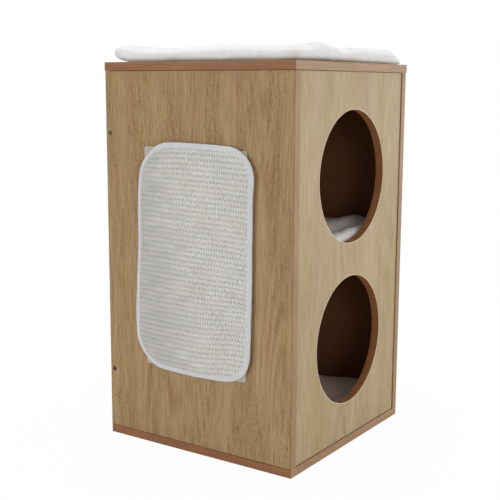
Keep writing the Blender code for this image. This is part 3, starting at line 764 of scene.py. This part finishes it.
def waveTop(piece, look, seat, thickness):
    # the top's rises and dips, none at the seat and all of it at the full height
    def lift(co):
        share = smooth(*stuffing["waveSpan"], (co.z - seat) / thickness)
        rise = sum(height * hill(co.x - x, reachX) * hill(co.y - y, reachY)
                   for x, y, reachX, reachY, height in look["waves"])
        rise += stuffing["uneven"] * ripple(co.x * 16, co.y * 16, 3.1)
        co.z += rise * share
        return co
    moveVerts(piece, lift)


def fluff(piece, amount):
    # the uneven skin of a short pile
    normals = [v.normal.copy() for v in piece.data.vertices]
    for vert, normal in zip(piece.data.vertices, normals):
        co = vert.co
        vert.co = co + normal * amount * (noise.noise(co * 120) + 0.6 * noise.noise(co * 260))
    piece.data.update()


def padCushion(look):
    # the padded form, in the solid's place
    low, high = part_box(look["node"])
    inset = Vector((look["shrink"], look["shrink"], 0))
    floor = low.z + look["startLift"]
    start = Vector((low.x, low.y, floor)) + inset
    end = Vector((high.x, high.y, floor + look["startHeight"])) - inset
    piece = stuff(softBlank(look, start, end), look)
    fitSides(piece, low, high)
    waveTop(piece, look, low.z, high.z - low.z)
    fluff(piece, look["pile"])
    return piece


def finishCushion(piece, body, node, finish):
    makeActive(piece)
    bpy.ops.object.shade_smooth()
    dress(piece, finish)
    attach(piece, body)
    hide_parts(node)


def makeTopCushion():
    look = topCushion
    piece = padCushion(look)
    low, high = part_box(look["node"])
    seat = low.z
    outX, outY = look["outward"]

    def rest(co):
        co.z = max(co.z, seat + stuffing["seatGap"])
        share = (co.z - seat) / (high.z - seat)
        outward = outY * co.y + outX * co.x
        curl = max(0.0, 1 - (look["cornerOut"] - outward) / look["curlReach"])
        co.z += look["curlHeight"] * curl ** 1.6 * (1 - share)
        slump = min(1.0, max(0.0, 1 - (look["cornerOut"] + outward) / look["slumpReach"]))
        co.z = seat + (co.z - seat) * math.sqrt(1 - slump * slump * look["slumpDrop"])
        # the slumped corner's lower half fills out as far as its middle
        below = max(0.0, 1 - 2 * share)
        foot = min(1.0, 1.6 * slump) * (1 - math.sqrt(1 - below * below))
        out = look["slumpOut"] * slump + look["footOut"] * foot
        co.x -= outX * out
        co.y -= outY * out
        # most of the front side's lower edge stands off, and small folds run over it
        edge = hill(co.y - look["frontSide"], 0.020) * smooth(0.05, -0.01, co.x)
        edge *= smooth(-0.19, -0.15, co.x)
        co.z += look["frontGap"] * edge * max(0.0, 1 - 2.2 * share)
        for x, y, z, length, height in look["folds"]:
            near = hill(math.hypot(co.x - x, co.y - y), length) * hill(co.z - z, look["foldWide"])
            co.z += height * near
        return co
    moveVerts(piece, rest)
    finishCushion(piece, "top_cushion", look["node"], whitePlush)


makeTopCushion()
print("cat house: top cushion made")

roomCushion = {
    "shrink": 0.0030,
    "startLift": 0.003,
    "startHeight": 0.034,
    "corner": 0.030,
    "edge": 0.012,
    "pressure": 4.0,
    "cap": 0.009,
    "pile": 0.0005,
    "wallGap": 0.0004,        # metres kept from the walls round the room
    "doorwayRadius": 0.118,
    "doorwayClear": 0.0010,
    "bulge": 0.0010,          # how far it swells out through the doorway
    "bulgeSpan": (-0.140, -0.178),    # where that begins and where it is full, from back to front
}
upperCushion = dict(roomCushion, node="upper_cushion", name="upperCushion", doorway=0.500, waves=[
    (0.03, -0.165, 0.16, 0.026, -0.0095), (0.052, -0.171, 0.056, 0.016, 0.0098),
    (0.05, -0.140, 0.13, 0.022, -0.0085), (0.160, -0.130, 0.055, 0.030, 0.0085),
    (0.150, -0.060, 0.06, 0.045, -0.0062), (-0.12, 0.08, 0.08, 0.08, -0.0045),
    (0.02, 0.12, 0.06, 0.05, 0.0015)])
lowerCushion = dict(roomCushion, node="lower_cushion", name="lowerCushion", doorway=0.201, waves=[
    (0.0, -0.172, 0.12, 0.018, 0.0010), (0.02, -0.14, 0.12, 0.025, -0.0050),
    (0.155, -0.125, 0.06, 0.050, 0.0122), (0.160, -0.035, 0.06, 0.040, 0.0042),
    (-0.10, 0.10, 0.09, 0.08, -0.0030)])


def makeRoomCushion(look):
    node = look["node"]
    piece = padCushion(look)
    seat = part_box(node)[0].z
    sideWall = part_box("right_side_panel")[0].x - look["wallGap"]
    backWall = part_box("back_panel")[0].y - look["wallGap"]
    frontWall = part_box("front_panel")[1].y + look["wallGap"]
    clear = look["doorwayRadius"] - look["doorwayClear"]

    def settle(co):
        reach = math.hypot(co.x, co.z - look["doorway"])
        inDoorway = smooth(clear + 0.002, clear - 0.012, reach)
        co.y -= look["bulge"] * inDoorway * smooth(*look["bulgeSpan"], co.y)
        co.x = max(-sideWall, min(sideWall, co.x))
        co.y = min(backWall, co.y)
        if reach > clear:
            co.y = max(frontWall, co.y)
        co.z = max(co.z, seat + stuffing["seatGap"])
        return co
    moveVerts(piece, settle)
    finishCushion(piece, node, node, roomPlush[node])


makeRoomCushion(upperCushion)
makeRoomCushion(lowerCushion)
print("cat house: room cushions made")


pad = {
    "width": 0.252,
    "height": 0.414,
    "corner": 0.060,
    "thick": 0.0070,
    "tilt": -1.7,
    "centreHeight": 0.353,
    "lift": 0.0012,
    "endBow": 0.0004,
    # how far each corner is pressed in: which side, which end, metres, reach
    "corners": [(-1, 1, 0.0070, 0.060), (-1, -1, 0.0043, 0.046), (1, 1, -0.0004, 0.050),
                (1, -1, -0.0046, 0.031)],
    # dips in the two long sides: which side, height, reach, metres
    "waists": [(1, 0.125, 0.046, 0.0036), (1, 0.045, 0.050, 0.0022), (-1, 0.022, 0.038, 0.0021),
               (-1, -0.105, 0.035, -0.0014)],
    "endLift": (0.0003, 0.0048),    # how far the bottom end rises: all along, and towards the front
    "edgeThin": 0.0022,             # how much thinner the pad is at its outline
    "edgeReach": 0.0080,
    "level": 0.47,                  # share of the thickness where that thinning moves nothing
}
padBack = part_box("scratch_pad_binding")[1].x
padAxes = (Matrix.Translation((padBack, 0, pad["centreHeight"] + pad["lift"]))
           @ Matrix(((0, 0, -1), (-1, 0, 0), (0, 1, 0))).to_4x4()
           @ Matrix.Rotation(math.radians(pad["tilt"]), 4, "Z"))


def tapeInset(co):
    # how far in from the pad's outline a point lies
    halfWidth, halfHeight, corner = pad["width"] / 2, pad["height"] / 2, pad["corner"]
    overX = max(0.0, abs(co.x) - (halfWidth - corner))
    overY = max(0.0, abs(co.y) - (halfHeight - corner))
    if overX and overY:
        return corner - math.hypot(overX, overY)
    return min(halfWidth - abs(co.x), halfHeight - abs(co.y))


def outlineHalfWidth(height, inset):
    # half the width of the pad's rounded outline, this far from its middle and this far in
    halfWidth, halfHeight = pad["width"] / 2 - inset, pad["height"] / 2 - inset
    corner = pad["corner"] - inset
    over = max(0.0, abs(height) - (halfHeight - corner))
    return halfWidth - corner + math.sqrt(max(0.0, corner * corner - over * over))


def padForm(co):
    # from the pad's own flat axes to its place on the house, with the uneven run of its outline
    halfWidth, halfHeight = pad["width"] / 2, pad["height"] / 2
    u, v = co.x / halfWidth, co.y / halfHeight
    x, y = co.x, co.y + v * pad["endBow"] * math.cos(math.pi * u / 2)
    for side, end, press, reach in pad["corners"]:
        near = press * hill(math.hypot(co.x - side * halfWidth, co.y - end * halfHeight), reach)
        x -= side * near
        y -= end * near
    for side, height, reach, dip in pad["waists"]:
        x -= side * max(0.0, side * u) ** 2 * dip * hill(co.y - height, reach)
    level, frontLift = pad["endLift"]
    y += (level + frontLift * smooth(0.0, 0.75, u)) * max(0.0, -v) ** 1.5
    # the stitched border is pressed thinner than the mat
    thin = pad["edgeThin"] / pad["thick"] * smooth(pad["edgeReach"], 0.001, tapeInset(co))
    middle = pad["thick"] * pad["level"]
    return padAxes @ Vector((x, y, middle + (co.z - middle) * (1 - thin)))


weave = {
    "rowPitch": 0.0090,
    "strandPitch": 0.0053,   # the strands lie across the rows and lean over by this much from row to row
    "beadPitch": 0.0048,     # the loops along each of a row's two cords
    "rise": 0.0020,
    "groove": 0.25,          # how deep the groove is between the two cords of a row
    # what the height is made of: the row's cord, and the strand over it
    "cordShare": 0.40,
    "strandShare": 0.80,
    # the smooth cords' height, how round they are, and how uneven
    "flatCord": 0.22,
    "flatRound": 0.18,
    "flatUneven": 0.07,
    "wander": 0.0016,        # metres that a row wanders up and down
    "turnUp": 0.0095,        # how far the rows rise towards the front at the bottom end
    "smoothSide": 0.45,      # how far the smooth cords reach in from the back edge
    "inset": 0.0030,
    "columns": 300,
    "stepsPerRow": 7,
    "floor": 0.0014,
    "crest": 0.0078,
    "border": (0.0035, 0.0075),    # how far in from its edge the tape presses it down
    "underTape": 0.0012,           # how far that border lies below the pad's face
}


def weaveHeight(u, v):
    # 0 in the hollow between two rows, 1 on top of a strand
    drift = weave["wander"] * (ripple(u * 14, v * 9, 0.7) + 0.4 * ripple(u * 60, v * 50, 2.0))
    turnUp = weave["turnUp"] * smooth(0.0, 0.115, u) * smooth(0.02, -0.15, v)
    row = (v + drift - turnUp) / weave["rowPitch"]
    index = math.floor(row)
    part = row - index
    across = math.sin(math.pi * part) ** 1.3 - weave["groove"] * hill(part - 0.5, 0.15)
    half = math.floor(2 * row)
    overRows = u / weave["strandPitch"] - row + 0.35 * ripple(u * 60, index * 3.7, 5.0)
    alongCord = u / weave["beadPitch"] + 0.37 * half + 1.2 * ripple(u * 45, half * 3.7, 6.0)
    strand = (1.0 - 0.32 * math.cos(2 * math.pi * overRows) - 0.68 * math.cos(2 * math.pi * alongCord)) / 2
    size = 0.98 + 0.50 * ripple(u * 150, row * 9.3, 1.0) + 0.20 * ripple(u * 22, v * 30, 4.0)
    beaded = (weave["cordShare"] * across + weave["strandShare"] * strand) * size
    # towards the back edge the rows lie as smooth cords, pressed flat
    cord = (weave["flatCord"] + weave["flatRound"] * math.sin(math.pi * part) ** 0.7
            + weave["flatUneven"] * ripple(u * 30, row * 2.1, 3.0))
    side = u / 0.12 + 0.35 * v / 0.2 + weave["smoothSide"] + 0.5 * ripple(u * 26, index * 1.9, 8.0)
    return max(0.0, min(1.0, cord + (beaded - cord) * smooth(-0.35, 0.55, side)))


def makeMat():
    halfHeight = pad["height"] / 2 - weave["inset"]
    rows = int(2 * halfHeight / weave["rowPitch"] * weave["stepsPerRow"])
    deselectAll()
    bpy.ops.mesh.primitive_grid_add(x_subdivisions=weave["columns"], y_subdivisions=rows, size=2,
                                    location=(0, 0, 0))
    piece = nameNew("wovenMat")
    heights = []
    for vert in piece.data.vertices:
        v = vert.co.y * halfHeight
        halfWidth = outlineHalfWidth(v, weave["inset"])
        u = vert.co.x * halfWidth
        height = weaveHeight(u, v)
        heights.append(height)
        press = smooth(*weave["border"], min(halfWidth - abs(u), halfHeight - abs(v)))
        top = weave["crest"] - weave["rise"] * (1 - height)
        vert.co = Vector((u, v, top * press + (pad["thick"] - weave["underTape"]) * (1 - press)))
    layer = piece.data.attributes.new("cordHeight", "FLOAT", "POINT")
    layer.data.foreach_set("value", heights)
    # its sides and its flat back
    enterMode("EDIT")
    pick(piece, "edges", lambda e: len(e.link_faces) == 1)
    bpy.ops.mesh.extrude_edges_move()
    enterMode("OBJECT")
    for vert in piece.data.vertices:
        if vert.select:
            vert.co.z = weave["floor"]
    enterMode("EDIT")
    bpy.ops.mesh.edge_face_add()
    bpy.ops.mesh.select_all(action="SELECT")
    bpy.ops.mesh.normals_make_consistent(inside=False)
    enterMode("OBJECT")
    moveVerts(piece, padForm)
    bpy.ops.object.shade_smooth()
    dress(piece, wovenSisal)
    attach(piece, "scratch_pad")
    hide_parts("scratch_mat")


tape = {
    "lip": 0.0096,
    "thick": 0.0009,
    "round": 0.0026,
    "roundSteps": 5,
    "cornerSteps": 20,
    "sideCuts": 44,
    "flatArea": 0.04,        # only the two large flat faces have more square metres
    "dent": 0.00035,         # how deep the stitching pulls the tape in
    "dentReach": 0.0008,
    "dentHalf": 0.0009,      # half the width of the strip of faces that it pulls in
    "puff": 0.00022,         # how far the tape rises and falls elsewhere
    "edgeWander": 0.0022,    # share of the pad's size by which its outline wanders
    "stitchInset": 0.0066,
    "stitchPitch": 0.0040,
    "stitchLength": 0.0029,
    "stitchWide": 0.00075,
    "stitchArch": 40,        # how strongly a stitch's ends bend down
}


def outlinePlate(name):
    # the pad's outline as one flat face, with points all along its sides, left in edit mode
    deselectAll()
    bpy.ops.mesh.primitive_plane_add(size=1, location=(0, 0, 0))
    piece = bpy.context.object
    piece.scale = (pad["width"], pad["height"], 1)
    piece = nameNew(name)
    enterMode("EDIT")
    pick(piece, "verts", lambda v: True)
    bpy.ops.mesh.bevel(offset=pad["corner"], segments=tape["cornerSteps"], affect="VERTICES")
    pick(piece, "edges", lambda e: e.calc_length() > 0.05)
    bpy.ops.mesh.subdivide(number_cuts=tape["sideCuts"])
    return piece


def isFlatFace(face):
    return abs(face.normal.z) > 0.9 and face.calc_area() > tape["flatArea"]


def makeBinding():
    piece = outlinePlate("bindingTape")
    pick(piece, "faces", lambda f: True)
    bpy.ops.mesh.extrude_region_move(TRANSFORM_OT_translate={"value": (0, 0, pad["thick"])})
    # both flat faces step inwards: to the stitching, past it, and to the tape's edge
    half = tape["dentHalf"]
    for step in (tape["stitchInset"] - half, half, half, tape["lip"] - tape["stitchInset"] - half):
        pick(piece, "faces", isFlatFace)
        bpy.ops.mesh.inset(thickness=step, use_individual=True, use_even_offset=True)
    pick(piece, "faces", isFlatFace)
    bpy.ops.mesh.delete(type="FACE")
    pick(piece, "edges", lambda e: len(e.link_faces) == 2 and e.calc_face_angle() > 1.3)
    bpy.ops.mesh.bevel(offset=tape["round"], segments=tape["roundSteps"], affect="EDGES", profile=0.5)
    bpy.ops.mesh.select_all(action="SELECT")
    bpy.ops.mesh.normals_make_consistent(inside=False)
    enterMode("OBJECT")

    def soften(co):
        # the stitching pulls the tape in, and it puffs and wanders a little between
        inset = tapeInset(co)
        out = 1 if co.z > pad["thick"] / 2 else -1
        wave = ripple(co.x * 55, co.y * 55, out)
        if inset > 0.001:
            co.z -= out * tape["dent"] * hill(inset - tape["stitchInset"], tape["dentReach"])
            co.z += out * tape["puff"] * wave * smooth(0.001, 0.003, inset)
        else:
            co.xy *= 1 + tape["edgeWander"] * wave
        return co
    moveVerts(piece, soften)
    wall = piece.modifiers.new("clothThickness", "SOLIDIFY")
    wall.thickness = tape["thick"]
    wall.offset = -1
    applyModifiers(piece)
    moveVerts(piece, padForm)
    bpy.ops.object.shade_smooth()
    dress(piece, bindingTape)
    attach(piece, "scratch_pad")
    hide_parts("scratch_pad_binding")


def stitchPlaces():
    # even steps round the stitch line, each with its direction
    inset = tape["stitchInset"]
    halfWidth, halfHeight = pad["width"] / 2 - inset, pad["height"] / 2 - inset
    corner = pad["corner"] - inset
    straightX, straightY = halfWidth - corner, halfHeight - corner
    # each straight side and the corner after it: start, way, half the length, the corner's centre
    sides = [((halfWidth, -straightY), (0, 1), straightY, (straightX, straightY)),
             ((straightX, halfHeight), (-1, 0), straightX, (-straightX, straightY)),
             ((-halfWidth, straightY), (0, -1), straightY, (-straightX, -straightY)),
             ((-straightX, -halfHeight), (1, 0), straightX, (straightX, -straightY))]
    arcLength = math.pi / 2 * corner
    total = 2 * (2 * straightX + 2 * straightY) + 4 * arcLength
    count = round(total / tape["stitchPitch"])
    places = []
    for k in range(count):
        left = k * total / count
        for quarter, (start, way, half, centre) in enumerate(sides):
            if left < 2 * half:
                places.append((Vector(start) + Vector(way) * left, math.atan2(way[1], way[0])))
                break
            left -= 2 * half
            if left < arcLength:
                turn = math.radians(90 * quarter) + left / corner
                spot = Vector(centre) + corner * Vector((math.cos(turn), math.sin(turn)))
                places.append((spot, turn + math.pi / 2))
                break
            left -= arcLength
    return places


def makeStitches():
    wide = tape["stitchWide"]
    deselectAll()
    bpy.ops.mesh.primitive_cylinder_add(vertices=6, radius=wide / 2, depth=tape["stitchLength"],
                                        rotation=(0, math.radians(90), 0))
    one = nameNew("stitch")
    enterMode("EDIT")
    pick(one, "faces", lambda f: abs(f.normal.x) > 0.9)
    bpy.ops.mesh.inset(thickness=wide * 0.2)
    enterMode("OBJECT")

    def archStitch(co):
        # both ends bend down, and the middle of each stands out a little
        longer = 1.12 if abs(co.y) + abs(co.z) < wide * 0.4 else 1
        return Vector((co.x * longer, co.y, co.z - tape["stitchArch"] * co.x * co.x))
    moveVerts(one, archStitch)
    copies = []
    lift = pad["thick"] - tape["dent"] * 0.35
    for place, angle in stitchPlaces():
        copy = one.copy()
        copy.data = one.data.copy()
        scene.collection.objects.link(copy)
        copy.data.transform(Matrix.Translation((place.x, place.y, lift)) @ Matrix.Rotation(angle, 4, "Z"))
        copies.append(copy)
    bpy.data.objects.remove(one)
    deselectAll()
    for copy in copies:
        copy.select_set(True)
    bpy.context.view_layer.objects.active = copies[0]
    bpy.ops.object.join()
    piece = bpy.context.object
    piece.name = piece.data.name = "bindingStitches"
    moveVerts(piece, padForm)
    bpy.ops.object.shade_smooth_by_angle(angle=math.radians(40))
    dress(piece, stitchThread)
    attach(piece, "scratch_pad")


makeMat()
print("cat house: woven mat made")
makeBinding()
makeStitches()
print("cat house: binding and stitches made")

print("cat house: finished")
